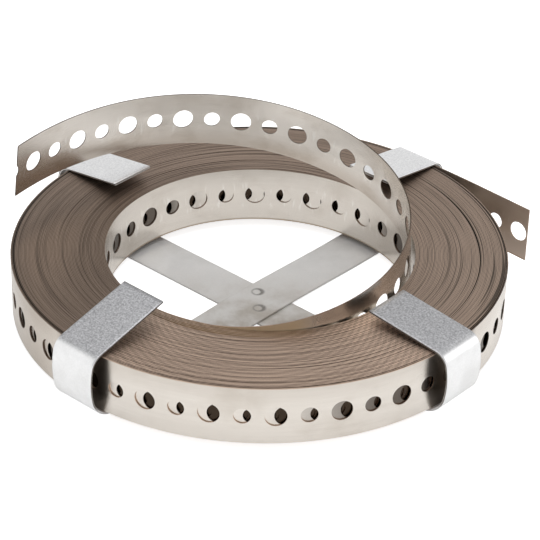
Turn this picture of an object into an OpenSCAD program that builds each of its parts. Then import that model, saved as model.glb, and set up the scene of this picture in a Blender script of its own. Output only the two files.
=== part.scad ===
// Coil of perforated steel strap, wound on edge and held by two crossed steel strips.
// The coil's axis is Z, the floor is Z = 0, and the two holder strips run along X and Y.

/* [Strap] */
// Width of the strap, which is the height of the coil
strap_w = 20; // [16:1:30]
// Thickness of the strap
strap_t = 0.4; // [0.3:0.02:0.6]
// Diameter of every second hole
large_hole_d = 7; // [4:0.5:8]
// Diameter of the holes between them
small_hole_d = 5.5; // [3:0.5:8]
// Distance along the strap from one hole to the next
hole_pitch = 10.12; // [9:0.01:14]

/* [Coil] */
// Radius of the bore inside the innermost turn
bore_r = 51; // [45:0.1:65]
// Turns lying against each other in the coil
turns = 71; // [55:1:90]
// Play between one turn and the next
turn_gap = 0.034; // [0.02:0.002:0.1]
// Width of the groove that parts two turns, at the coil's end faces
groove_w = 0.2; // [0.1:0.05:0.25]
// Depth of that groove
groove_depth = 0.4; // [0.2:0.1:1]

/* [Inner free end] */
// Where the innermost turn starts to rise out of the coil, counted around Z from +X
inner_from = -65; // [-75:1:-50]
// Hole pitches between that point and the last hole of the end
inner_pitches = 26; // [22:1:28]
// Distance from the last hole's centre to the cut, which runs through the rim of the next hole
inner_tip = 8.3; // [7.5:0.1:9.9]
// How much tighter than its turn the end is curled where it leaves the coil
inner_tighten = 1.4; // [1:0.1:5]
// Radius it has opened to at the cut
inner_cut_r = 148; // [100:1:200]
// How late it opens out: 2 is early and 4 is late
inner_ease = 2.5; // [2:0.1:4]
// Slope at which it climbs out of the bore, in degrees
inner_climb = 9; // [7.5:0.1:12]
// Slope at the cut, where it has levelled out
inner_cut_climb = -1.8; // [-4:0.1:4]
// Length over which the climb stays steady
inner_steady_len = 157; // [130:1:180]
// How far its upper edge leans in towards the axis at the last hole, in degrees
inner_lean = 7.1; // [0:0.1:8]
// Stretch of the bore wall that the risen turn has left bare, in degrees
bare_angle = 60; // [50:1:75]

/* [Outer free end] */
// Where the outermost turn springs off the coil
outer_from = 107; // [102:1:112]
// Hole pitches between that point and the last hole of the end
outer_pitches = 7; // [5:1:8]
// Distance from the last hole's centre to the cut
outer_tip = 3.9; // [3.9:0.1:8]
// Length over which it straightens
outer_straighten_len = 57; // [40:1:70]

/* [Holder] */
// Width of the holder strips
holder_w = 17; // [12:0.5:25]
// Thickness of the holder strips
holder_t = 0.8; // [0.5:0.1:1.5]
// How far the coil stands over the lower strip, as it rests on the bends at the feet of the clips
coil_lift = 2; // [1:0.1:3]
// Inside radius of the bend at a clip's foot
foot_bend_r = 9; // [7:0.5:10]
// Inside radius of the bend at its top
top_bend_r = 4.5; // [3:0.5:5]
// How far the clip's leg bows out, in degrees each way
clip_bow = 12; // [4:1:16]
// Room between the clip and the coil where they come closest
clip_play = 0.3; // [0.1:0.1:1]
// How much shorter than the coil's build-up the straight end over it is, at +X and at -X
lower_setback = [3.8, 6.9]; // [2:0.1:12]
// The same for the upper strip, at +Y and at -Y
upper_setback = [3.8, 2.5]; // [2:0.1:12]
// How far the lower strip lies beside the coil's axis, along Y
lower_off = -1; // [-2:0.1:2]
// Upward tilt of the ends of the lower strip, at +X and at -X
lower_lift = [6, 8]; // [0:1:20]
// Upward tilt of the ends of the upper strip, at +Y and at -Y
upper_lift = [8, 14]; // [0:1:20]
// Distance between the two spot welds at the crossing
weld_spacing = 10; // [6:1:14]
// Direction of the line through them, counted around Z from +X
weld_angle = -45; // [-60:5:-30]
// Diameter of a spot weld's dimple
weld_d = 3.6; // [2:0.2:5]
// Depth of that dimple
weld_depth = 0.3; // [0.1:0.05:0.4]

/* [Hidden] */
strap_colour = [0.78, 0.74, 0.69];
holder_colour = [0.72, 0.73, 0.75];

turn_pitch = strap_t + turn_gap;
coil_r = bore_r + turns * turn_pitch;
coil_bottom = holder_t + coil_lift;
coil_top = coil_bottom + strap_w;
coil_mid = coil_bottom + strap_w / 2;
// How deep the two free ends are sunk into the coil where they leave it
end_bury = 0.1;
// Length of the inner end's root inside the coil
root_len = 1;
// Stations along a free end for each hole pitch
per_pitch = 3;
// Room behind that root, where the turn behind it shows
root_room = 0.3;
// How far a cutting tool runs past the faces that it goes through
overcut = 1;
// Play of the tool that cuts a free end's hole, past the strap on each side
hole_overcut = 0.2;
// Long and gentle slope of the upper strip up to the crossing
ramp_angle = 1.5;
ramp_bend_r = 40;
// Flat length of the upper strip, counted from the middle of the crossing
crossing_half = holder_w / 2 + 1.5;

// ---- Paths of the two free ends ----
// A path is a list of stations [point, heading, climb], and each step is a fraction of a hole pitch

function direction(heading, climb) =
    [cos(heading) * cos(climb), sin(heading) * cos(climb), sin(climb)];

inner_root_r = bore_r + strap_t / 2;
inner_start_r = inner_root_r - inner_tighten;
inner_len = inner_pitches * hole_pitch + inner_tip;
// Curvature falls slowly at first and fast near the cut
function inner_curve(s) =
    1 / inner_cut_r + (1 / inner_start_r - 1 / inner_cut_r) * (1 - pow(s / inner_len, inner_ease));
function inner_slope(s) =
    s < inner_steady_len ? inner_climb * min(1, s / hole_pitch)
    : inner_climb
      + (inner_cut_climb - inner_climb) * (s - inner_steady_len) / (inner_len - inner_steady_len);

outer_len = outer_pitches * hole_pitch + outer_tip;
function outer_curve(s) = s < outer_straighten_len ? (1 - s / outer_straighten_len) / coil_r : 0;

// Distance along an end at station i: equal steps up to the last hole, then two to the cut
function station_s(i, pitches, tip) =
    i <= pitches * per_pitch ? i * hole_pitch / per_pitch
    : pitches * hole_pitch + (i - pitches * per_pitch) * tip / 2;

inner_path = [
    for (i = 0,
         r = inner_root_r + end_bury,
         point = [r * cos(inner_from), r * sin(inner_from), coil_mid],
         heading = inner_from + 90;
         i <= inner_pitches * per_pitch + 2;
         s0 = station_s(i, inner_pitches, inner_tip),
         step = station_s(i + 1, inner_pitches, inner_tip) - s0,
         turn = step * inner_curve(s0 + step / 2) * 180 / PI,
         point = point + step * direction(heading + turn / 2, inner_slope(s0 + step / 2)),
         heading = heading + turn,
         i = i + 1)
    [point, heading, inner_slope(station_s(i, inner_pitches, inner_tip))]
];

outer_path = [
    for (i = 0,
         r = coil_r - strap_t / 2 - end_bury,
         point = [r * cos(outer_from), r * sin(outer_from), coil_mid],
         heading = outer_from - 90;
         i <= outer_pitches * per_pitch + 2;
         s0 = station_s(i, outer_pitches, outer_tip),
         step = station_s(i + 1, outer_pitches, outer_tip) - s0,
         turn = -step * outer_curve(s0 + step / 2) * 180 / PI,
         point = point + step * direction(heading + turn / 2, 0),
         heading = heading + turn,
         i = i + 1)
    [point, heading, 0]
];

// The lean grows from nothing at the root
function lean_at(i) = inner_lean * i / (inner_pitches * per_pitch);

// ---- Perforated strap ----

// Half section of the coil, with one groove between each two turns on both end faces
module coil_section() {
    top = [
        for (n = [1 : turns - 1])
            for (side = [-1 : 1])
                [bore_r + n * turn_pitch + side * groove_w / 2,
                 coil_top - (side == 0 ? groove_depth : 0)]
    ];
    bottom = [
        for (n = [turns - 1 : -1 : 1])
            for (side = [1 : -1 : -1])
                [bore_r + n * turn_pitch + side * groove_w / 2,
                 coil_bottom + (side == 0 ? groove_depth : 0)]
    ];
    polygon(concat(
        [[bore_r, coil_bottom], [bore_r, coil_top]],
        top,
        [[coil_r, coil_top], [coil_r, coil_bottom]],
        bottom
    ));
}

// The end that has sprung up out of the bore, swept along its path as one closed skin
module inner_free_end() {
    stations = len(inner_path);
    points = [
        for (i = [0 : stations - 1])
            for (corner = [[-1, -1], [1, -1], [1, 1], [-1, 1]])
                inner_path[i][0]
                + turned([i == 0 ? -root_len : 0, corner[0] * strap_t / 2, corner[1] * strap_w / 2], i)
    ];
    sides = [
        for (i = [0 : stations - 2])
            for (c = [0 : 3])
                let (a = 4 * i + c, b = 4 * i + (c + 1) % 4)
                    each [[a, a + 4, b], [b, a + 4, b + 4]]
    ];
    last = 4 * (stations - 1);
    polyhedron(
        points,
        concat([[0, 1, 2, 3]], sides, [[last + 3, last + 2, last + 1, last]]),
        convexity = 4
    );
}

// A vector of the strap at station i: x runs along the strap, y points to the axis, z across it
function turned(v, i) =
    let (heading = inner_path[i][1],
         climb = inner_path[i][2],
         lean = lean_at(i),
         along = direction(heading, climb),
         inward = [-sin(heading), cos(heading), 0],
         across = cross(along, inward))
        v[0] * along
        + v[1] * (inward * cos(lean) - across * sin(lean))
        + v[2] * (across * cos(lean) + inward * sin(lean));

// The end that has sprung off the outside, which stays level
module outer_free_end() {
    faces = [
        for (side = [1, -1])
            [for (station = outer_path)
                [station[0][0], station[0][1]]
                + side * strap_t / 2 * [-sin(station[1]), cos(station[1])]]
    ];
    back = faces[1];
    translate([0, 0, coil_bottom])
        linear_extrude(strap_w)
            polygon(concat(faces[0], [for (i = [len(back) - 1 : -1 : 0]) back[i]]));
}

// Tool for hole number n, counted from the cut, with its axis along y
module hole_tool(n, reach) {
    rotate([90, 0, 0])
        cylinder(d = n % 2 == 0 ? large_hole_d : small_hole_d, h = 2 * reach, center = true, $fn = 48);
}

// Puts a tool on the inner end at station i, and further along it by the given distance
module on_inner_end(i, further) {
    translate(inner_path[i][0])
        rotate([0, 0, inner_path[i][1]])
            rotate([0, -inner_path[i][2], 0])
                rotate([-lean_at(i), 0, 0])
                    translate([further, 0, 0])
                        children();
}

module inner_end_holes() {
    for (n = [0 : inner_pitches - 1])
        on_inner_end((inner_pitches - n) * per_pitch, 0)
            hole_tool(n, strap_t / 2 + hole_overcut);
    // The hole that the cut runs through leaves a notch
    on_inner_end(len(inner_path) - 1, hole_pitch - inner_tip)
        hole_tool(-1, strap_t / 2 + hole_overcut);
}

module outer_end_holes() {
    for (n = [0 : outer_pitches - 1]) {
        station = outer_path[(outer_pitches - n) * per_pitch];
        translate(station[0])
            rotate([0, 0, station[1]])
                hole_tool(n, strap_t / 2 + hole_overcut);
    }
}

// The same row of holes carries on round the outermost turn, one turn deep
module outer_turn_holes() {
    angle_step = hole_pitch / (coil_r - strap_t / 2) * 180 / PI;
    for (k = [0 : floor(360 / angle_step) - 1])
        rotate([0, 0, outer_from - 90 + k * angle_step])
            translate([0, coil_r, coil_mid])
                hole_tool(k + outer_pitches, strap_t);
}

// And round the innermost turn, as far as the stretch that the end has left bare
module inner_turn_holes() {
    angle_step = hole_pitch / (bore_r + strap_t / 2) * 180 / PI;
    for (k = [1 : floor((360 - bare_angle) / angle_step) - 1])
        rotate([0, 0, inner_from - 90 - k * angle_step])
            translate([0, bore_r, coil_mid])
                hole_tool(k + inner_pitches, strap_t);
}

// Where the innermost turn has left the wall, the bore is one turn wider
module bare_stretch() {
    rotate([0, 0, inner_from])
        rotate_extrude(angle = bare_angle, $fn = 180)
            translate([bore_r - overcut, coil_bottom - overcut])
                square([overcut + end_bury + strap_t + root_room, strap_w + 2 * overcut]);
}

module perforated_strap() {
    color(strap_colour)
        union() {
            difference() {
                union() {
                    difference() {
                        rotate_extrude($fn = 180) coil_section();
                        bare_stretch();
                    }
                    outer_free_end();
                }
                outer_end_holes();
                outer_turn_holes();
                inner_turn_holes();
            }
            difference() {
                inner_free_end();
                inner_end_holes();
            }
        }
}

// ---- Holder strips ----

foot_mid_r = foot_bend_r + holder_t / 2;
top_mid_r = top_bend_r + holder_t / 2;
foot_turn = 90 - clip_bow;
// The coil's lower edge rests on the foot bend this far out from where the bend starts
seat_reach = sqrt(pow(foot_bend_r, 2) - pow(foot_bend_r - coil_lift, 2));
foot_reach = coil_r + clip_play - seat_reach;
// The clip at +Y stands further out, because the outer free end runs through it
widest_y = max([for (st = outer_path) abs(st[0][0]) < holder_w / 2 + hole_pitch / per_pitch ? st[0][1] : 0]);
outer_foot_reach = max(foot_reach, widest_y + strap_t / 2 + clip_play - seat_reach);
ramp_len = (holder_t - 2 * ramp_bend_r * (1 - cos(ramp_angle))) / sin(ramp_angle);
ramp_reach = crossing_half + 2 * ramp_bend_r * sin(ramp_angle) + ramp_len * cos(ramp_angle);
// Angle between two points of a bend
bend_step = 6;

// A strip's middle line is made of runs, each [length, 0] or [bend radius, turn in degrees].
// Runs of one clip: foot bend, bowed leg, top bend and the end that lies over the coil
function clip_runs(lift, setback) =
    let (foot_height = foot_mid_r * (1 - cos(foot_turn)),
         top_height = top_mid_r * (cos(lift) - sin(clip_bow)),
         leg_height = coil_top + clip_play - foot_height - top_height,
         leg_r = leg_height / (2 * sin(clip_bow)))
        [[foot_mid_r, foot_turn], [leg_r, 2 * clip_bow], [top_mid_r, foot_turn - lift],
         [turns * turn_pitch - setback, 0]];

// Runs of the upper strip from the crossing down to the floor and on to its foot bend
function ramp_runs(reach) =
    [[crossing_half, 0], [ramp_bend_r, -ramp_angle], [ramp_len, 0], [ramp_bend_r, ramp_angle],
     [reach - ramp_reach, 0]];

// Follows one run from a station [point, heading] and gives the stations it passes
function follow(run, from) =
    run[1] == 0
    ? [[from[0] + run[0] * [cos(from[1]), sin(from[1])], from[1]]]
    : let (side = sign(run[1]),
           centre = from[0] + side * run[0] * [-sin(from[1]), cos(from[1])],
           steps = ceil(abs(run[1]) / bend_step))
        [for (k = [1 : steps])
            let (heading = from[1] + run[1] * k / steps)
                [centre + side * run[0] * [sin(heading), -cos(heading)], heading]];

// Follows all the runs, one after the other
function stations_of(runs, from) =
    len(runs) == 0 ? []
    : let (passed = follow(runs[0], from))
        concat(passed, stations_of([for (i = [1 : 1 : len(runs) - 1]) runs[i]], passed[len(passed) - 1]));

// One skin of a half strip: its middle line moved sideways by half the thickness
function half_skin(runs, height, side) =
    [for (st = stations_of(runs, [[0, height], 0]))
        st[0] + side * holder_t / 2 * [-sin(st[1]), cos(st[1])]];

function mirrored(points) = [for (p = points) [-p[0], p[1]]];

function backwards(points) = [for (i = [len(points) - 1 : -1 : 0]) points[i]];

// A whole strip along X from the runs of its +X half and of its -X half
module bent_strip(right_runs, left_runs, height) {
    rotate([90, 0, 0])
        translate([0, 0, -holder_w / 2])
            linear_extrude(holder_w)
                polygon(concat(
                    half_skin(right_runs, height, -1),
                    backwards(half_skin(right_runs, height, 1)),
                    mirrored(half_skin(left_runs, height, 1)),
                    backwards(mirrored(half_skin(left_runs, height, -1)))
                ));
}

module lower_holder_strip() {
    color(holder_colour)
        translate([0, lower_off, 0])
            bent_strip(
                concat([[foot_reach, 0]], clip_runs(lower_lift[0], lower_setback[0])),
                concat([[foot_reach, 0]], clip_runs(lower_lift[1], lower_setback[1])),
                holder_t / 2
            );
}

module upper_holder_strip() {
    dimple_r = (pow(weld_d / 2, 2) + pow(weld_depth, 2)) / (2 * weld_depth);
    color(holder_colour)
        difference() {
            rotate([0, 0, 90])
                bent_strip(
                    concat(ramp_runs(outer_foot_reach), clip_runs(upper_lift[0], upper_setback[0])),
                    concat(ramp_runs(foot_reach), clip_runs(upper_lift[1], upper_setback[1])),
                    1.5 * holder_t
                );
            for (side = [-1, 1])
                rotate([0, 0, weld_angle])
                    translate([side * weld_spacing / 2, 0, 2 * holder_t - weld_depth + dimple_r])
                        sphere(r = dimple_r, $fn = 64);
        }
}

perforated_strap();
lower_holder_strip();
upper_holder_strip();
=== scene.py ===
from math import ceil, cos, pi, radians, sin, sqrt

import bmesh
import bpy
from mathutils import Matrix, Vector


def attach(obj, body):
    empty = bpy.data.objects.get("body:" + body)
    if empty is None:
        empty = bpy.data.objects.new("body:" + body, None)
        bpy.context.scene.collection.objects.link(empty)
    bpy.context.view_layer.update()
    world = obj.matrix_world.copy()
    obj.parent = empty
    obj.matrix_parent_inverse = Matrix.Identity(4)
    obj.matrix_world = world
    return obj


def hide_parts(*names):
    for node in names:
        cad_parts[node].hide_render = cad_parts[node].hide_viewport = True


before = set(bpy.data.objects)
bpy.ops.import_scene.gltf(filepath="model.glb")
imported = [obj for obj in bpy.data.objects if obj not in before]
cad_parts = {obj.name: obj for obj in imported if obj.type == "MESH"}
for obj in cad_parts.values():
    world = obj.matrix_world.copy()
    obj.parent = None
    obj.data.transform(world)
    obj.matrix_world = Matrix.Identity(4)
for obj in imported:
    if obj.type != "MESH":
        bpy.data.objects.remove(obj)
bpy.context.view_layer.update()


# ---- Camera ----
# It stands in front of the coil and looks down on it, over the gap between two of the four clips. It is far
# off, with a long lens, so the coil keeps its shape.

camera_place = (0.4297, -0.4890, 0.4244)
lens_millimetres = 154.7
sensor_millimetres = 36
look = radians(41)
tilt_down = radians(32.25)
roll = radians(1.55)
ahead = Vector((-sin(look) * cos(tilt_down), cos(look) * cos(tilt_down), -sin(tilt_down)))
level = Vector((cos(look), sin(look), 0))
above = level.cross(ahead)
camera_x = level * cos(roll) + above * sin(roll)
camera_y = above * cos(roll) - level * sin(roll)
camera = bpy.data.objects.new("camera", bpy.data.cameras.new("camera"))
camera.data.lens = lens_millimetres
camera.data.sensor_width = sensor_millimetres
camera.data.clip_end = 10
turned_to_coil = Matrix((camera_x, camera_y, -ahead)).transposed().to_4x4()
camera.matrix_world = Matrix.Translation(camera_place) @ turned_to_coil
bpy.context.collection.objects.link(camera)
bpy.context.scene.camera = camera


# ---- Perforated strap ----
# One long cold-rolled steel strap, punched with a large and a small hole by turns and wound on edge.
# It runs from the cut of the end that has sprung up out of the bore, down to the innermost turn, outwards
# turn by turn, and out to the cut of the end that stands off the outside. Nothing holds it but the clips.


class Term:
    """A value that flows through a node tree, so that a rule can be written as a formula."""

    def __init__(self, tree, socket):
        self.tree, self.socket = tree, socket

    def math(self, operation, *others, kind="ShaderNodeMath"):
        node = self.tree.nodes.new(kind)
        node.operation = operation
        for value, socket in zip((self,) + others, node.inputs):
            feed(self.tree, value, socket)
        result = "Value" if operation in ("DOT_PRODUCT", "LENGTH", "DISTANCE") else 0
        return Term(self.tree, node.outputs[result])

    def vector_math(self, operation, *others):
        return self.math(operation, *others, kind="ShaderNodeVectorMath")

    def __add__(self, other):
        return self.math("ADD", other)

    def __sub__(self, other):
        return self.math("SUBTRACT", other)

    def __rsub__(self, other):
        return self.math("MULTIPLY", -1).math("ADD", other)

    def __mul__(self, other):
        return self.math("MULTIPLY", other)

    def __truediv__(self, other):
        return self.math("DIVIDE", other)

    def __pow__(self, other):
        return self.math("POWER", other)

    def __neg__(self):
        return self.math("MULTIPLY", -1)

    __radd__ = __add__
    __rmul__ = __mul__

    def between(self, low, high):
        return self.math("MAXIMUM", low).math("MINIMUM", high)

    def ramp(self, start, end):
        """0 up to start, 1 from end on, and smooth between."""
        node = self.tree.nodes.new("ShaderNodeMapRange")
        node.interpolation_type = "SMOOTHSTEP"
        feed(self.tree, self, node.inputs["Value"])
        feed(self.tree, start, node.inputs["From Min"])
        feed(self.tree, end, node.inputs["From Max"])
        return Term(self.tree, node.outputs["Result"])

    def scaled(self, factor):
        node = self.tree.nodes.new("ShaderNodeVectorMath")
        node.operation = "SCALE"
        feed(self.tree, self, node.inputs["Vector"])
        feed(self.tree, factor, node.inputs["Scale"])
        return Term(self.tree, node.outputs["Vector"])

    def part(self, axis):
        node = self.tree.nodes.new("ShaderNodeSeparateXYZ")
        feed(self.tree, self, node.inputs[0])
        return Term(self.tree, node.outputs[axis])


def feed(tree, value, socket):
    if isinstance(value, Term):
        tree.links.new(value.socket, socket)
    else:
        socket.default_value = value


def node_of(tree, kind, inputs=None, output=0, **settings):
    """Adds a node, feeds its inputs, and gives one of its outputs as a Term."""
    node = tree.nodes.new(kind)
    for name, value in settings.items():
        setattr(node, name, value)
    for name, value in (inputs or {}).items():
        feed(tree, value, node.inputs[name])
    return Term(tree, node.outputs[output])


def vector_of(tree, x, y, z):
    return node_of(tree, "ShaderNodeCombineXYZ", {"X": x, "Y": y, "Z": z})


def noise_of(tree, where, stretch=(1, 1, 1), scale=1, detail=1, roughness=0.5):
    """Noise between 0 and 1, with its pattern stretched along each axis."""
    return node_of(
        tree,
        "ShaderNodeTexNoise",
        {
            "Vector": where.vector_math("MULTIPLY", stretch),
            "Scale": scale,
            "Detail": detail,
            "Roughness": roughness,
        },
    )


def joined(tree, *pieces):
    node = tree.nodes.new("GeometryNodeJoinGeometry")
    for piece in pieces:
        tree.links.new(piece.socket, node.inputs[0])
    return Term(tree, node.outputs[0])


def new_tree(name, sizes):
    """A node tree with one named input for each size, and the geometry that it gives."""
    tree = bpy.data.node_groups.new(name, "GeometryNodeTree")
    tree.interface.new_socket("Geometry", in_out="OUTPUT", socket_type="NodeSocketGeometry")
    tree.interface.new_socket("Geometry", in_out="INPUT", socket_type="NodeSocketGeometry")
    start = tree.nodes.new("NodeGroupInput")
    for size in sizes:
        tree.interface.new_socket(size, in_out="INPUT", socket_type="NodeSocketFloat")
    return tree, {size: Term(tree, start.outputs[size]) for size in sizes}


def made_by(tree, sizes, name):
    """Runs a node tree on an empty piece and keeps what it gives as a plain mesh."""
    seed = bpy.data.objects.new(name + "_seed", bpy.data.meshes.new(name + "_seed"))
    bpy.context.collection.objects.link(seed)
    modifier = seed.modifiers.new("rule", "NODES")
    modifier.node_group = tree
    for item in tree.interface.items_tree:
        if item.in_out == "INPUT" and item.name in sizes:
            modifier[item.identifier] = float(sizes[item.name])
    made = seed.evaluated_get(bpy.context.evaluated_depsgraph_get())
    mesh = bpy.data.meshes.new_from_object(made)
    mesh.name = name
    seed.modifiers.clear()
    bpy.data.objects.remove(seed)
    piece = bpy.data.objects.new(name, mesh)
    bpy.context.collection.objects.link(piece)
    return piece


# Sizes in metres and radians. Angles go round the axis from +X. Each end's sizes count from its root, where
# it leaves the wound turns, but its tip is the distance from its cut to the first hole's middle.
strap_sizes = {
    "Width": 0.020,
    "Thickness": 0.0004,
    "Large hole": 0.007,
    "Small hole": 0.0055,
    "Hole pitch": 0.01012,
    "Inner wound pitch": 0.01036,
    "Outer wound pitch": 0.01028,
    "Step": 0.0028,
    "Bottom": 0.0028,
    "Bore radius": 0.0511,
    "Outer radius": 0.0820,
    "Turns": 71,
    "Inner from": radians(-65),
    "Inner holes": 26,
    "Inner tip": 0.0083,
    "Inner start radius": 0.0498,
    "Inner cut radius": 0.148,
    "Inner ease": 2.5,
    "Inner first climb": radians(3),
    "Inner climb": radians(8.88),
    "Inner easing length": 0.033,
    "Inner cut climb": radians(-1.8),
    "Inner steady length": 0.157,
    "Inner lean": radians(7.1),
    "Outer from": radians(107),
    "Outer holes": 7,
    "Outer tip": 0.0039,
    "Outer straighten length": 0.057,
    "Inner holed turns": 5,
    "Outer holed turns": 5,
    "Unevenness": 0.00005,
    "Edge rise": 0.0004,
    "Front rise": 0.0012,
    "Raised build": 0.0026,
    "Outermost sag": 0.00025,
    "Bore bow": 0.0006,
    "Gap": 0.00022,
}
tree, size = new_tree("wound_strap", strap_sizes)

# Lengths of the three stretches: the inner end, the wound turns and the outer end
half = size["Thickness"] / 2
inner_length = size["Inner holes"] * size["Hole pitch"] + size["Inner tip"]
outer_length = size["Outer holes"] * size["Hole pitch"] + size["Outer tip"]
sweep = size["Inner from"] - size["Outer from"] + size["Turns"] * (2 * pi)
first_r = size["Bore radius"] + half
last_r = size["Outer radius"] - half
growth = (last_r - first_r) / sweep
wound_length = (first_r + last_r) / 2 * sweep
full_length = inner_length + wound_length + outer_length
steps = (full_length / size["Step"]).math("CEIL")
step = full_length / steps

# The path's points, a step apart, each with its distance along the strap
index = node_of(tree, "GeometryNodeInputIndex")
along = index * step

# Inner end: from the root it curls less and less, climbs steadily, and levels out near the cut
from_root = inner_length - along
piece_of_step = from_root.between(0, step)
middle = from_root - piece_of_step / 2
tightest = size["Inner start radius"].math("POWER", -1)
loosest = size["Inner cut radius"].math("POWER", -1)


def heading_of_inner(distance):
    """The way along the strap towards the inner cut, at a distance from the root."""
    ease = size["Inner ease"]
    uncurled = (distance / inner_length).between(0, 2) ** ease / (ease + 1)
    curl = distance * loosest + (tightest - loosest) * distance * (1 - uncurled)
    return size["Inner from"] + pi / 2 + curl


def climb_of_inner(distance):
    """How steeply the strap rises towards the inner cut, at a distance from the root."""
    eased = (distance / size["Inner easing length"]).between(0, 1)
    rising = size["Inner first climb"] + eased * (size["Inner climb"] - size["Inner first climb"])
    steady = size["Inner steady length"]
    levelling = ((distance - steady) / (inner_length - steady)).between(0, 1)
    return rising + levelling * (size["Inner cut climb"] - size["Inner climb"])


def pointing(heading, length, z=0):
    """A vector of this length on the plan, along a heading, with a z of its own."""
    return vector_of(tree, heading.math("COSINE") * length, heading.math("SINE") * length, z)


def direction(heading, climb):
    """One metre along a heading that climbs."""
    return pointing(heading, climb.math("COSINE"), climb.math("SINE"))


inner_step = direction(heading_of_inner(middle), climb_of_inner(middle)).scaled(piece_of_step)
inner_sum = tree.nodes.new("GeometryNodeAccumulateField")
inner_sum.data_type = "FLOAT_VECTOR"
feed(tree, inner_step, inner_sum.inputs["Value"])
inner_run = Term(tree, inner_sum.outputs["Total"]).vector_math(
    "SUBTRACT", Term(tree, inner_sum.outputs["Trailing"])
)
middle_height = size["Bottom"] + size["Width"] / 2
root = pointing(size["Inner from"], first_r, middle_height + size["Front rise"])
inner_place = root.vector_math("ADD", inner_run)

# Wound turns: a spiral that goes clockwise and grows by one thickness and its play each turn
along_wound = (along - inner_length).between(0, wound_length)
turned = ((first_r * first_r + growth * along_wound * 2).math("SQRT") - first_r) / growth
angle = size["Inner from"] - turned
spiral_r = first_r + growth * turned
from_outside = last_r - spiral_r


def near(centre, sharpness):
    """1 in one direction from the axis, in degrees, falling off to 0 in the opposite one."""
    return ((angle - radians(centre)).math("COSINE") * 0.5 + 0.5) ** sharpness


def looser(depth, reach):
    """Turns that have shrunk inwards from a gap, and close up again over the reach behind it."""
    gap_edge = 0.0001
    opened = from_outside.ramp(depth - gap_edge, depth + gap_edge)
    closed_up = from_outside.ramp(depth + gap_edge * 6, depth + reach)
    return opened - closed_up


# The innermost turns bow in at the back, and two gaps run round part of the coil
spiral_r = (
    spiral_r
    - near(131, sharpness=2) * (from_outside / (last_r - first_r)) ** 3 * size["Bore bow"]
    - looser(depth=0.0007, reach=0.009) * (1 - near(-49, sharpness=3)) * size["Gap"]
    - looser(depth=0.0091, reach=0.008) * near(55, sharpness=4) * size["Gap"]
)

# No two turns lie quite alike: noise that is long round the coil and short from turn to turn
ends_free = turned.ramp(0, pi) * (sweep - turned).ramp(0, pi)
waves_round = 1.2
waves_outwards = 420
turn_spot = pointing(angle, waves_round, spiral_r * waves_outwards)
uneven = noise_of(tree, turn_spot)
uneven_r = spiral_r + (uneven - 0.5) * 2 * size["Unevenness"] * ends_free
uneven_height = noise_of(tree, turn_spot, stretch=(0.8, 0.8, 3.2))
risen = (uneven_height - 0.25).between(0, 1) * size["Edge rise"]

# The outermost turn sags a little, and the free inner end pulls the innermost turns up in front
sag = (1 - from_outside.ramp(0.0005, 0.0012)) * near(-25, sharpness=2) * size["Outermost sag"]
pulled = (1 - (spiral_r - first_r) / size["Raised build"]).between(0, 1)
pulled_up = near(-65, sharpness=14) * pulled * size["Front rise"]
wound_height = middle_height + pulled_up + (risen - sag) * ends_free
wound_place = pointing(angle, uneven_r, wound_height)

# Outer end: it springs off the last turn and straightens
from_leaving = along - inner_length - wound_length
piece_after = from_leaving.between(0, step)
middle_after = from_leaving - piece_after / 2
last_angle = size["Inner from"] - sweep


def heading_of_outer(distance):
    """The way back along the strap towards the coil, at a distance from where it leaves the last turn."""
    straighten = size["Outer straighten length"]
    bent = distance.math("MINIMUM", straighten)
    return last_angle + pi / 2 - (bent - bent * bent / (straighten * 2)) / last_r


outer_step = pointing(heading_of_outer(middle_after) + pi, piece_after)
outer_sum = tree.nodes.new("GeometryNodeAccumulateField")
outer_sum.data_type = "FLOAT_VECTOR"
feed(tree, outer_step, outer_sum.inputs["Value"])
leaving = pointing(last_angle, last_r, middle_height)
outer_place = leaving.vector_math("ADD", Term(tree, outer_sum.outputs["Leading"]))

# One path out of the three, with the strap's heading, climb and lean at each point
on_inner = from_root.math("GREATER_THAN", 0)
on_outer = from_leaving.math("GREATER_THAN", 0)


def choose(flag, yes, no):
    return node_of(
        tree,
        "GeometryNodeSwitch",
        {"Switch": flag, "True": yes, "False": no},
        input_type="VECTOR",
    )


def with_value(geometry, name, value, data_type="FLOAT_VECTOR", domain="POINT"):
    """The geometry with a value kept on it under a name."""
    return node_of(
        tree,
        "GeometryNodeStoreNamedAttribute",
        {"Geometry": geometry, "Name": name, "Value": value},
        data_type=data_type,
        domain=domain,
    )


inner_frame = vector_of(
    tree,
    heading_of_inner(from_root),
    climb_of_inner(from_root),
    from_root / (size["Inner holes"] * size["Hole pitch"]) * size["Inner lean"],
)
wound_frame = vector_of(tree, angle + pi / 2, 0, 0)
outer_frame = vector_of(tree, heading_of_outer(from_leaving), 0, 0)
place = choose(on_inner, inner_place, choose(on_outer, outer_place, wound_place))
pose = choose(on_inner, inner_frame, choose(on_outer, outer_frame, wound_frame))
path = node_of(tree, "GeometryNodePoints", {"Count": steps + 2})
path = with_value(path, "place", place)
path = with_value(path, "pose", pose)

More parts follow.
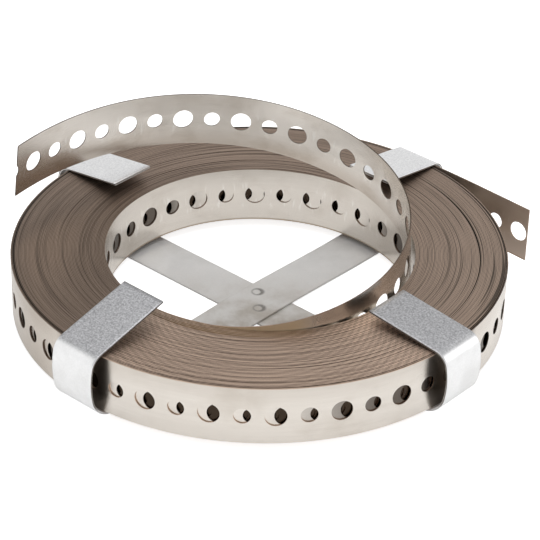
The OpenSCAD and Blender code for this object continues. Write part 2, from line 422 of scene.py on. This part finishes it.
# The blank, flat: its outline, with a notch where the inner cut went through a small hole. Its points run
# along one edge, back along the other, and round the notch.
far_side = index.math("GREATER_THAN", steps + 0.5)
outline_x = (index + far_side * (steps * 2 + 1 - index * 2)) * step
outline_y = (far_side - 0.5) * size["Width"]
notch_points = 9
on_notch = index.math("GREATER_THAN", steps * 2 + 1.5)
past_cut = size["Hole pitch"] - size["Inner tip"]
notch_r = size["Small hole"] / 2
swing = (past_cut / notch_r).math("ARCCOSINE") * (1 - (index - steps * 2 - 2) * (2 / (notch_points - 1)))
outline_x = outline_x + on_notch * (swing.math("COSINE") * notch_r - past_cut - outline_x)
outline_y = outline_y + on_notch * (swing.math("SINE") * notch_r - outline_y)
outline = node_of(
    tree,
    "GeometryNodePoints",
    {"Count": steps * 2 + 2 + notch_points, "Position": vector_of(tree, outline_x, outline_y, 0)},
)
outline = node_of(tree, "GeometryNodePointsToCurves", {"Points": outline})
outline = node_of(tree, "GeometryNodeSetSplineCyclic", {"Geometry": outline, "Cyclic": True})

# The holes are counted from each cut. They stand a pitch apart on the free end and on the first few holes of
# the wound turns, and a little further apart after them.
corners_of_hole = 28
inner_free = size["Inner holes"] + 2
outer_free = size["Outer holes"] + 5


def row_of_holes(count, tip, free, wound_pitch, backwards):
    """Hole centres counted from a cut, with every second hole smaller."""
    past_free = (index - free).math("MAXIMUM", 0)
    x = tip + index * size["Hole pitch"] + past_free * (wound_pitch - size["Hole pitch"])
    if backwards:
        x = full_length - x
    centres = node_of(tree, "GeometryNodePoints", {"Count": count, "Position": vector_of(tree, x, 0, 0)})
    small = index.math("MODULO", 2)
    width = size["Large hole"] + small * (size["Small hole"] - size["Large hole"])
    ring = node_of(
        tree,
        "GeometryNodeCurvePrimitiveCircle",
        {"Resolution": corners_of_hole, "Radius": 0.5},
        mode="RADIUS",
    )
    return node_of(
        tree,
        "GeometryNodeInstanceOnPoints",
        {"Points": centres, "Instance": ring, "Scale": vector_of(tree, width, width, width)},
    )


inner_round = size["Inner holed turns"] * 2 * pi * first_r
outer_round = size["Outer holed turns"] * 2 * pi * last_r
holes = joined(
    tree,
    row_of_holes(
        size["Inner holes"] + (inner_round / size["Hole pitch"]).math("FLOOR"),
        size["Inner tip"],
        inner_free,
        size["Inner wound pitch"],
        backwards=False,
    ),
    row_of_holes(
        size["Outer holes"] + (outer_round / size["Hole pitch"]).math("FLOOR"),
        size["Outer tip"],
        outer_free,
        size["Outer wound pitch"],
        backwards=True,
    ),
)
holes = node_of(tree, "GeometryNodeRealizeInstances", {"Geometry": holes})
blank = node_of(tree, "GeometryNodeFillCurve", {"Curve": joined(tree, outline, holes)}, mode="TRIANGLES")
outer_face = node_of(
    tree,
    "GeometryNodeSetPosition",
    {"Geometry": blank, "Offset": vector_of(tree, 0, 0, -half)},
)
extrusion = tree.nodes.new("GeometryNodeExtrudeMesh")
extrusion.mode = "FACES"
feed(tree, outer_face, extrusion.inputs["Mesh"])
feed(tree, vector_of(tree, 0, 0, size["Thickness"]), extrusion.inputs["Offset"])
extrusion.inputs["Individual"].default_value = False
walls = with_value(
    Term(tree, extrusion.outputs["Mesh"]),
    "cut_edge",
    Term(tree, extrusion.outputs["Side"]),
    data_type="FLOAT",
    domain="FACE",
)
strap = joined(tree, walls, node_of(tree, "GeometryNodeFlipFaces", {"Mesh": outer_face}))
merge_within = 0.00002
strap = node_of(tree, "GeometryNodeMergeByDistance", {"Geometry": strap, "Distance": merge_within})

# Where each point lies on the flat blank is kept for the finish, and then the blank is wound up
flat_place = node_of(tree, "GeometryNodeInputPosition")
strap = with_value(strap, "blank", flat_place)
strap = with_value(strap, "to_outer_cut", full_length - flat_place.part("X"), data_type="FLOAT")
station = (flat_place.part("X") / step).between(0, steps)
before = station.math("FLOOR")


def on_path(name):
    """A value kept on the path, between its two nearest points."""
    value = node_of(tree, "GeometryNodeInputNamedAttribute", {"Name": name}, data_type="FLOAT_VECTOR")
    ends = [
        node_of(
            tree,
            "GeometryNodeSampleIndex",
            {"Geometry": path, "Value": value, "Index": number},
            data_type="FLOAT_VECTOR",
            domain="POINT",
        )
        for number in (before, before + 1)
    ]
    return ends[0].vector_math("ADD", ends[1].vector_math("SUBTRACT", ends[0]).scaled(station - before))


centre = on_path("place")
pose_here = on_path("pose")
heading, climb, lean = pose_here.part("X"), pose_here.part("Y"), pose_here.part("Z")
inward = vector_of(tree, -heading.math("SINE"), heading.math("COSINE"), 0)
across = direction(heading, climb).vector_math("CROSS_PRODUCT", inward)
lean_in, upright = lean.math("SINE"), lean.math("COSINE")
across_leaning = across.scaled(upright).vector_math("ADD", inward.scaled(lean_in))
inward_leaning = inward.scaled(upright).vector_math("SUBTRACT", across.scaled(lean_in))
wound = centre.vector_math("ADD", across_leaning.scaled(flat_place.part("Y")))
wound = wound.vector_math("ADD", inward_leaning.scaled(flat_place.part("Z")))
strap = node_of(tree, "GeometryNodeSetPosition", {"Geometry": strap, "Position": wound})
strap = node_of(tree, "GeometryNodeSetShadeSmooth", {"Geometry": strap, "Shade Smooth": True})
edge_angle = node_of(tree, "GeometryNodeInputMeshEdgeAngle", output="Unsigned Angle")
sharp = edge_angle.math("GREATER_THAN", radians(35))
strap = with_value(strap, "sharp_edge", sharp, data_type="BOOLEAN", domain="EDGE")
strap = node_of(tree, "GeometryNodeRealizeInstances", {"Geometry": strap})
strap_steel = bpy.data.materials.new("strap_steel")
strap = node_of(tree, "GeometryNodeSetMaterial", {"Geometry": strap, "Material": strap_steel})
result = tree.nodes.new("NodeGroupOutput")
tree.links.new(strap.socket, result.inputs[0])

strap_piece = made_by(tree, strap_sizes, "wound_perforated_strap")

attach(strap_piece, "root")
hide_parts("perforated_strap")


def shader_of(material):
    """The material's node tree, cleared down to a new surface shader and its output."""
    material.use_nodes = True
    shader_tree = material.node_tree
    shader_tree.nodes.clear()
    shader = shader_tree.nodes.new("ShaderNodeBsdfPrincipled")
    end = shader_tree.nodes.new("ShaderNodeOutputMaterial")
    shader_tree.links.new(shader.outputs[0], end.inputs["Surface"])
    return shader_tree, shader


def blended(tree, share, low, high):
    """A colour between two, by a share of 0 to 1, through the colour sockets of a Mix node."""
    node = tree.nodes.new("ShaderNodeMix")
    node.data_type = "RGBA"
    feed(tree, share, node.inputs[0])
    feed(tree, low, node.inputs[6])
    feed(tree, high, node.inputs[7])
    return Term(tree, node.outputs[2])


paint, shader = shader_of(strap_steel)
blank_place = node_of(paint, "ShaderNodeAttribute", output="Vector", attribute_name="blank")
from_inner_cut = blank_place.part("X")
to_outer_cut = node_of(paint, "ShaderNodeAttribute", output="Fac", attribute_name="to_outer_cut")
up_the_face = blank_place.part("Y")
cut = node_of(paint, "ShaderNodeAttribute", output="Fac", attribute_name="cut_edge")
outer_side = blank_place.part("Z").math("LESS_THAN", 0)
inner_side = 1 - outer_side
around = node_of(paint, "ShaderNodeTexCoord", output="Object")
on_plan = around.vector_math("MULTIPLY", (1, 1, 0))
radius = on_plan.vector_math("LENGTH")
outwards = on_plan.vector_math("NORMALIZE")
streaks = noise_of(paint, blank_place, stretch=(40, 900, 0), detail=3, roughness=0.6)
clouds = noise_of(paint, blank_place, stretch=(60, 90, 0), detail=3, roughness=0.6)


def facing(angle):
    """1 on the side that lies in this direction from the axis, and -1 on the opposite side.

    In degrees, the front lies at -49, the right at 41, the back at 131 and the left at -139.
    """
    return outwards.vector_math("DOT_PRODUCT", (cos(radians(angle)), sin(radians(angle)), 0))


def past(distance, place, fade=0.015):
    """0 before a place along the strap and 1 past it, with a short fade."""
    return distance.ramp(place - fade, place + fade)


# The sheared edges, which make the coil's top. Their colour holds painted light and shade: a painted
# highlight in front with fine curved painted light lines, and painted shade on the left. Bands and stripes
# run unevenly from turn to turn.
front = facing(-45).ramp(0.60, 0.82)
left_shade = (facing(-122) * 0.5 + 0.5) ** 4
middle_of_front = facing(-47).ramp(0.82, 0.97)
painted_light_by_side = 0.55 - left_shade * 0.25 + front * (0.62 - middle_of_front * 0.16)
stripes_outwards = 2300
stripes_round = 60
stripe_spot = vector_of(
    paint,
    radius * stripes_outwards,
    around.part("X") * stripes_round,
    around.part("Y") * stripes_round,
)
stripes = noise_of(paint, stripe_spot)
bands = noise_of(paint, stripe_spot, stretch=(0.28, 0.5, 0.5))
uneven_edges = 0.62 + front * 0.20 + stripes * 0.60 * (1 - front * 0.75) + bands * 0.22 * (1 - front * 0.4)
half_gauge = strap_sizes["Thickness"] / 2
# Painted shade darkens each edge towards its two rims, as on a rounded edge
rim_shade = (blank_place.part("Z") / half_gauge).math("ABSOLUTE").ramp(0.25, 0.9)
# Painted light lines, curved in front
line_spacing = 0.0024
line_bend = 0.092
painted_light_lines = ((radius + (1 - facing(-50)) * line_bend) * (2 * pi / line_spacing)).math("SINE")
painted_edge_light = (1 - rim_shade * (0.6 + front * 0.4)) * painted_light_by_side * uneven_edges * (1 + painted_light_lines * front * 0.12)

# Turns that sit low get painted shade, most of all on the outer right
lows = noise_of(paint, stripe_spot, stretch=(0.8, 0.25, 0.25), detail=0)
shaded_low_turns = (1 - lows.ramp(0.30, 0.42)) * (1 - front)
outer_right = facing(41).ramp(0.1, 0.8) * radius.ramp(0.058, 0.072)
painted_edge_light = painted_edge_light * (1 - shaded_low_turns * (0.38 + outer_right * 0.4))

# The outermost turn's edge gets a painted highlight in front, the second turn's is dark elsewhere, and so
# is the free end's
outermost = (1 - past(to_outer_cut, 0.63, fade=0.03)) * front
painted_edge_light = painted_edge_light.math("MAXIMUM", outermost * 0.8)
second_turn = past(to_outer_cut, 0.60, fade=0.02) * (1 - past(to_outer_cut, 1.4, fade=0.1)) * (1 - front)
painted_edge_light = painted_edge_light * (1 - second_turn * 0.7) * (0.35 + from_inner_cut.ramp(0.20, 0.27) * 0.65)
dark_edge = (0.03, 0.022, 0.016, 1)
light_edge = (0.98, 0.74, 0.583, 1)
edge_colour = blended(paint, painted_edge_light * 0.8, dark_edge, light_edge)

# Where the first and the second turn end, along the strap from its nearer cut. The second turn's face shows
# through the first one's holes, and it gets painted shade in some directions. Deeper turns get painted shade
# all round.
inner_turn_ends = (0.585, 0.935)
outer_turn_ends = (0.585, 1.125)
tucked_in_shade = past(from_inner_cut, inner_turn_ends[1]) * past(to_outer_cut, outer_turn_ends[1])
outer_holes_shade = past(to_outer_cut, outer_turn_ends[0]) * (1 - past(to_outer_cut, outer_turn_ends[1]))
outer_holes_shade = outer_holes_shade * (facing(-2).ramp(0.70, 0.98) + facing(-140).ramp(0.78, 0.92))
inner_holes_shade = past(from_inner_cut, inner_turn_ends[0]) * (1 - past(from_inner_cut, inner_turn_ends[1]))
inner_holes_shade = inner_holes_shade * (1 - facing(120).ramp(0.60, 0.86))

# The free inner end is paler, and darker towards its lower edge and in blotches. The inner side is scuffed
# along its row of holes, and so is the bore's wall.
free_end = (1 - from_inner_cut.ramp(0.16, 0.27)) * inner_side
lower_darkening = (1 - up_the_face.ramp(-0.010, -0.001)) * 0.45 + clouds.ramp(0.45, 0.70) * 0.15
along_the_holes = 1 - up_the_face.math("ABSOLUTE").ramp(0.003, 0.006)
scuffs = noise_of(paint, blank_place, stretch=(800, 150, 0)).ramp(0.60, 0.70)
scuffs = scuffs * along_the_holes * inner_side

# Painted shade: over the outer side on the left and along its upper part, over the bore's wall at the back
# right, and in a brown line along the wall's lower edge
outer_side_shade = facing(-128).ramp(0.80, 0.96) * 0.66 + up_the_face.ramp(0.002, 0.010) * 0.22
wall_side_shade = facing(55).ramp(0.80, 1.0) * from_inner_cut.ramp(0.25, 0.30) * 0.3
side_shade = outer_side * outer_side_shade + inner_side * wall_side_shade
lower_edge_shade = (1 - up_the_face.ramp(-0.0098, -0.0092)) * inner_side * (1 - free_end)

# The outer end's inner side gets brown painted shade, for its shade and the brown coil that it mirrors. The
# outermost turn gets painted shadow beside the clips, which stand on the two axes. Rolling oil has dried to
# a tan film where the inner end leaves the bore.
shaded_outer_end = (1 - to_outer_cut.ramp(0.03, 0.10)) * inner_side
off_the_axes = (around.part("X") * around.part("Y") / radius).math("ABSOLUTE")
clip_shadow = (1 - off_the_axes.ramp(0.0065, 0.0125)) * outer_side
clip_shadow = clip_shadow * (1 - to_outer_cut.ramp(0.5, 0.7)) * to_outer_cut.ramp(0.08, 0.10)
oiled = (1 - radius.ramp(0.0538, 0.0545)) * facing(-65).ramp(0.76, 0.88) * outer_side

# The faces, from the bare steel up: how much of each layer shows, and its colour. Several layers are painted
# shade.
face_colour = blended(paint, streaks, (0.71, 0.66, 0.60, 1), (0.82, 0.77, 0.71, 1))
for share, layer in (
    (clouds.ramp(0.45, 0.75) * 0.4, (0.55, 0.49, 0.42, 1)),
    (free_end * 0.45, (0.93, 0.89, 0.84, 1)),
    (free_end * lower_darkening, (0.36, 0.27, 0.19, 1)),
    (scuffs * 0.5, (0.93, 0.90, 0.86, 1)),
    (side_shade, (0.40, 0.34, 0.28, 1)),
    (lower_edge_shade * (0.5 + clouds * 0.5), (0.30, 0.21, 0.12, 1)),
    (shaded_outer_end * 0.55, (0.30, 0.19, 0.13, 1)),
    (clip_shadow * 0.7, (0.14, 0.10, 0.075, 1)),
    ((outer_holes_shade + inner_holes_shade) * 0.9, (0.06, 0.043, 0.031, 1)),
    (tucked_in_shade, (0.05, 0.036, 0.026, 1)),
    (oiled * 0.9, (0.50, 0.365, 0.22, 1)),
):
    face_colour = blended(paint, share, face_colour, layer)
paint.links.new(blended(paint, cut, face_colour, edge_colour).socket, shader.inputs["Base Color"])
paint.links.new((1 - oiled * (1 - cut) * 0.75).socket, shader.inputs["Metallic"])
paint.links.new((0.20 + streaks * 0.10 + cut * 0.2 + shaded_outer_end * 0.25).socket, shader.inputs["Roughness"])
grain = node_of(paint, "ShaderNodeBump", {"Height": streaks, "Distance": 0.00002, "Strength": 0.5})
paint.links.new(grain.socket, shader.inputs["Normal"])


# ---- Holder strips ----
# Two galvanised steel strips that keep the coil together. They cross in the bore, where two spot welds join
# them, lie flat under the coil and are bent up round its rim and over its top by hand, so their ends differ.

holder_width = 0.017
holder_gauge = 0.0008
foot_bend = 0.009
top_bend = 0.0045
bow = radians(12)
coil_radius = 0.0818
coil_height = 0.0200
coil_lift = 0.002
clip_play = 0.0003
lower_off = -0.001
welds_apart = 0.010
welds_angle = radians(-45)
weld_r = 0.0019
nub_r = 0.0009
weld_depth = 0.0003

# Straight runs are cut finely as far as the welds reach, and coarsely past them
weld_zone = 0.0105
fine_step = 0.0005
plain_step = 0.0016
bend_step = radians(5)

# The coil's rim rests part of the way up each foot bend, and this is how far from the axis the bend starts
seat_reach = sqrt(foot_bend**2 - (foot_bend - coil_lift) ** 2)
foot_reach = coil_radius + clip_play - seat_reach


def clip_runs(lift, end):
    """Foot bend, bowed leg, top bend and the end over the coil, each as a length or radius and a turn."""
    foot_r = foot_bend + holder_gauge / 2
    top_r = top_bend + holder_gauge / 2
    foot = pi / 2 - bow
    rise = holder_gauge + coil_lift + coil_height + clip_play
    rise -= foot_r * (1 - cos(foot)) + top_r * (cos(lift) - sin(bow))
    return [(foot_r, foot), (rise / (2 * sin(bow)), 2 * bow), (top_r, foot - lift), (end, 0)]


def stations_along(runs, height):
    """Points and headings along the middle line of half a strip, close together in the bends."""
    x, z, heading, travelled = 0.0, height, 0.0, 0.0
    stations = [(x, z, heading, travelled)]
    for length, turn in runs:
        if turn == 0:
            longest = fine_step if travelled < weld_zone - fine_step else plain_step
            steps = max(1, ceil(length / longest))
            for _ in range(steps):
                x += length / steps * cos(heading)
                z += length / steps * sin(heading)
                travelled += length / steps
                stations.append((x, z, heading, travelled))
        else:
            steps = max(4, ceil(abs(turn) / bend_step))
            part = turn / steps
            for _ in range(steps):
                chord = 2 * length * sin(abs(part) / 2)
                x += chord * cos(heading + part / 2)
                z += chord * sin(heading + part / 2)
                heading += part
                travelled += length * abs(part)
                stations.append((x, z, heading, travelled))
    return stations


def weld_dent(away):
    """How deep a spot weld's dimple is at a distance from its middle, with a small nub left there."""
    return weld_depth * (max(0.0, 1 - (away / weld_r) ** 2) - max(0.0, 1 - (away / nub_r) ** 2))


def holder_strip(name, right_runs, left_runs, height, turned_by, welded_side, beside):
    """Sweeps the strip's section, with rounded edges, from the left clip's end to the right one's."""
    right = stations_along(right_runs, height)
    left = [(-x, z, -heading, -way) for x, z, heading, way in stations_along(left_runs, height)]
    stations = left[:0:-1] + right
    rounding = 0.00012
    columns = 36
    flat = holder_width / 2 - rounding
    section = [(-flat + 2 * flat * column / columns, 1.0) for column in range(columns + 1)]
    section += [
        (flat + rounding * 0.7, 0.75),
        (flat + rounding, 0.3),
        (flat + rounding, -0.3),
        (flat + rounding * 0.7, -0.75),
    ]
    section += [(-across, -up) for across, up in section]
    weld_way = welds_apart / 2 * cos(welds_angle)
    weld_across = -welds_apart / 2 * sin(welds_angle) * welded_side
    mesh = bmesh.new()
    sheared = mesh.verts.layers.float.new("sheared_edge")
    rings = []
    for x, z, heading, way in stations:
        ring = []
        for across, up in section:
            lift = up * holder_gauge / 2
            y = across + beside
            on_welded_face = up * welded_side > 0.9
            if on_welded_face:
                for side in (-1, 1):
                    away = sqrt((way - side * weld_way) ** 2 + (y - side * weld_across) ** 2)
                    lift -= welded_side * weld_dent(away)
            corner = mesh.verts.new((x - lift * sin(heading), y, z + lift * cos(heading)))
            corner[sheared] = 1.0 if abs(across) > flat + rounding * 0.9 else 0.0
            ring.append(corner)
        rings.append(ring)
    for one, other in zip(rings, rings[1:]):
        for at in range(len(section)):
            mesh.faces.new((one[at - 1], one[at], other[at], other[at - 1]))
    for ring in (rings[0], rings[-1]):
        mesh.faces.new(ring)
    bmesh.ops.rotate(mesh, verts=mesh.verts, matrix=Matrix.Rotation(turned_by, 3, "Z"))
    bmesh.ops.recalc_face_normals(mesh, faces=mesh.faces)
    data = bpy.data.meshes.new(name)
    mesh.to_mesh(data)
    mesh.free()
    for face in data.polygons:
        is_cut_end = len(face.vertices) > 4
        face.use_smooth = not is_cut_end
    piece = bpy.data.objects.new(name, data)
    bpy.context.collection.objects.link(piece)
    return piece


# The upper strip is level over the lower one, then eases down to the floor
ramp = radians(1.5)
ramp_r = 0.040
level_half = holder_width / 2 + 0.0015
ramp_length = (holder_gauge - 2 * ramp_r * (1 - cos(ramp))) / sin(ramp)
ramp_reach = level_half + 2 * ramp_r * sin(ramp) + ramp_length * cos(ramp)


def over_and_down(reach):
    """The upper strip's runs from the crossing down to the floor and on to its foot bend."""
    return [(level_half, 0), (ramp_r, -ramp), (ramp_length, 0), (ramp_r, ramp), (reach - ramp_reach, 0)]


# The clip at the back right stands out a little further than the others
back_right_out = 0.00075
lower_strip = holder_strip(
    "lower_galvanised_strip",
    [(weld_zone, 0), (foot_reach - weld_zone, 0)] + clip_runs(lift=radians(6), end=0.0270),
    [(weld_zone, 0), (foot_reach - weld_zone, 0)] + clip_runs(lift=radians(8), end=0.0239),
    height=holder_gauge / 2,
    turned_by=0,
    welded_side=-1,
    beside=lower_off,
)
upper_strip = holder_strip(
    "upper_galvanised_strip",
    over_and_down(foot_reach + back_right_out) + clip_runs(lift=radians(8), end=0.0270),
    over_and_down(foot_reach) + clip_runs(lift=radians(14), end=0.0283),
    height=1.5 * holder_gauge,
    turned_by=pi / 2,
    welded_side=1,
    beside=0,
)
galvanised = bpy.data.materials.new("galvanised_steel")
zinc, shader = shader_of(galvanised)
spot = node_of(zinc, "ShaderNodeTexCoord", output="Object")


def plan_distance(x, y):
    """How far a spot lies from a point, on the plan."""
    return spot.vector_math("SUBTRACT", (x, y, 0)).vector_math("MULTIPLY", (1, 1, 0)).vector_math("LENGTH")


def reach_towards(angle):
    """How far a spot lies from the axis in a direction in degrees, below 0 on the opposite side."""
    return spot.vector_math("DOT_PRODUCT", (cos(radians(angle)), sin(radians(angle)), 0))


fine = noise_of(zinc, spot, scale=1800, detail=2, roughness=0.6)
dull = noise_of(zinc, spot, scale=90, detail=3, roughness=0.6)
over_coil = spot.part("Z").ramp(0.0225, 0.0240)
in_bore = 1 - spot.part("Z").ramp(0.003, 0.006)
in_front = reach_towards(-45).ramp(0, 0.03)

# Over the coil the zinc shows its fine spangle, with painted shade on the two front clips
lit_spangle = blended(zinc, fine.ramp(0.25, 0.75), (0.70, 0.70, 0.71, 1), (0.96, 0.96, 0.96, 1))
shaded_spangle = blended(zinc, fine.ramp(0.25, 0.75), (0.22, 0.22, 0.235, 1), (0.62, 0.62, 0.64, 1))
spangle = blended(zinc, in_front, lit_spangle, shaded_spangle)

# Elsewhere it is paler and smoother, with a brownish stain over the crossing and towards the front
pale = blended(zinc, dull.ramp(0.3, 0.7), (0.86, 0.86, 0.855, 1), (0.97, 0.97, 0.97, 1))
stained = reach_towards(-49).ramp(-0.030, 0.012) * (1 - plan_distance(0, 0).ramp(0.020, 0.060))
stained = stained * (0.35 + dull.ramp(0.3, 0.7) * 0.65)
pale = blended(zinc, stained * 0.9, pale, (0.36, 0.31, 0.25, 1))

# The welds are burnt dark round their nubs, partly as painted shade of the dimples, a little to one side of
# them
burnt_aside = 0.0002
nub_aside = (0.0004, 0.0003)
for side in (-1, 1):
    weld_x = side * welds_apart / 2 * cos(welds_angle) - burnt_aside
    weld_y = side * welds_apart / 2 * sin(welds_angle) + burnt_aside
    in_weld = 1 - plan_distance(weld_x, weld_y).ramp(0.0016, 0.0027)
    off_nub = plan_distance(weld_x - nub_aside[0], weld_y - nub_aside[1]).ramp(0.0010, 0.0017)
    burnt_and_shaded = off_nub * in_weld * in_bore
    pale = blended(zinc, burnt_and_shaded * (0.35 + fine), pale, (0.10, 0.085, 0.07, 1))
colour = blended(zinc, over_coil * 0.85 + (1 - over_coil) * 0.12, pale, spangle)

# The sheared edges have no zinc and are dark, and in the bore the zinc has gone dull
on_edge = node_of(zinc, "ShaderNodeAttribute", output="Fac", attribute_name="sheared_edge")
colour = blended(zinc, on_edge * (0.85 - in_bore * 0.6), colour, (0.10, 0.085, 0.07, 1))
zinc.links.new(colour.socket, shader.inputs["Base Color"])
zinc.links.new((1 - in_bore * 0.85).socket, shader.inputs["Metallic"])
zinc.links.new((0.26 + fine * 0.2 * over_coil + dull * 0.1).socket, shader.inputs["Roughness"])
bump = node_of(
    zinc,
    "ShaderNodeBump",
    {"Height": fine, "Distance": 0.00003, "Strength": 0.35 + over_coil * 0.1},
)
zinc.links.new(bump.socket, shader.inputs["Normal"])
for piece, node in ((lower_strip, "lower_holder_strip"), (upper_strip, "upper_holder_strip")):
    piece.data.materials.append(galvanised)
    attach(piece, "root")
    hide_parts(node)


# ---- Floor and light ----
# A plain white table under a large soft lamp overhead. Two weaker lamps light the left of the front and the
# right of the back, and the room around gives the rest.

table_half = 4
floor_mesh = bpy.data.meshes.new("floor")
floor_mesh.from_pydata(
    [
        (-table_half, -table_half, 0),
        (table_half, -table_half, 0),
        (table_half, table_half, 0),
        (-table_half, table_half, 0),
    ],
    [],
    [(0, 1, 2, 3)],
)
floor = bpy.data.objects.new("floor", floor_mesh)
bpy.context.collection.objects.link(floor)
floor_paint = bpy.data.materials.new("white_table")
table, shader = shader_of(floor_paint)
shader.inputs["Base Color"].default_value = (0.88, 0.88, 0.88, 1)
shader.inputs["Roughness"].default_value = 0.9

# The table is seen as white, and the steel mirrors it a little brighter than the lamps leave it
seen_glow = 0.78
mirrored_glow = 0.3
shader.inputs["Emission Color"].default_value = (1, 1, 1, 1)
rays = table.nodes.new("ShaderNodeLightPath")
seen = Term(table, rays.outputs["Is Camera Ray"])
mirrored = Term(table, rays.outputs["Is Glossy Ray"])
glow = seen * seen_glow + mirrored * mirrored_glow
table.links.new(glow.socket, shader.inputs["Emission Strength"])
floor.data.materials.append(floor_paint)

# The room is bright low down and dimmer overhead, and white where it is seen
world = bpy.data.worlds.new("studio")
bpy.context.scene.world = world
world.use_nodes = True
air = world.node_tree
backdrop = air.nodes["Background"]
backdrop.inputs["Color"].default_value = (1, 1, 1, 1)
rays = air.nodes.new("ShaderNodeLightPath")
seen = Term(air, rays.outputs["Is Camera Ray"])
height = node_of(air, "ShaderNodeTexCoord", output="Generated").part("Z")
brightness = 1.05 - height.ramp(0.15, 0.65) * 0.55
air.links.new((brightness + seen * (1 - brightness)).socket, backdrop.inputs["Strength"])


def soft_lamp(name, place, aim, width, power):
    """A square lamp that faces its aim."""
    lamp = bpy.data.lights.new(name, "AREA")
    lamp.shape = "SQUARE"
    lamp.size = width
    lamp.energy = power
    holder = bpy.data.objects.new(name, lamp)
    to_aim = (Vector(aim) - Vector(place)).to_track_quat("-Z", "Y").to_matrix().to_4x4()
    holder.matrix_world = Matrix.Translation(place) @ to_aim
    bpy.context.collection.objects.link(holder)


soft_lamp("overhead", place=(-0.1, 0.2, 1.2), aim=(0, 0, 0), width=1.0, power=4)
soft_lamp("front_left", place=(-0.9, -0.7, 0.8), aim=(0, 0, 0.02), width=0.8, power=1.0)
soft_lamp("back_right", place=(0.85, 0.95, 0.7), aim=(0, 0, 0.02), width=0.8, power=2.1)

bpy.context.scene.view_settings.view_transform = "Standard"
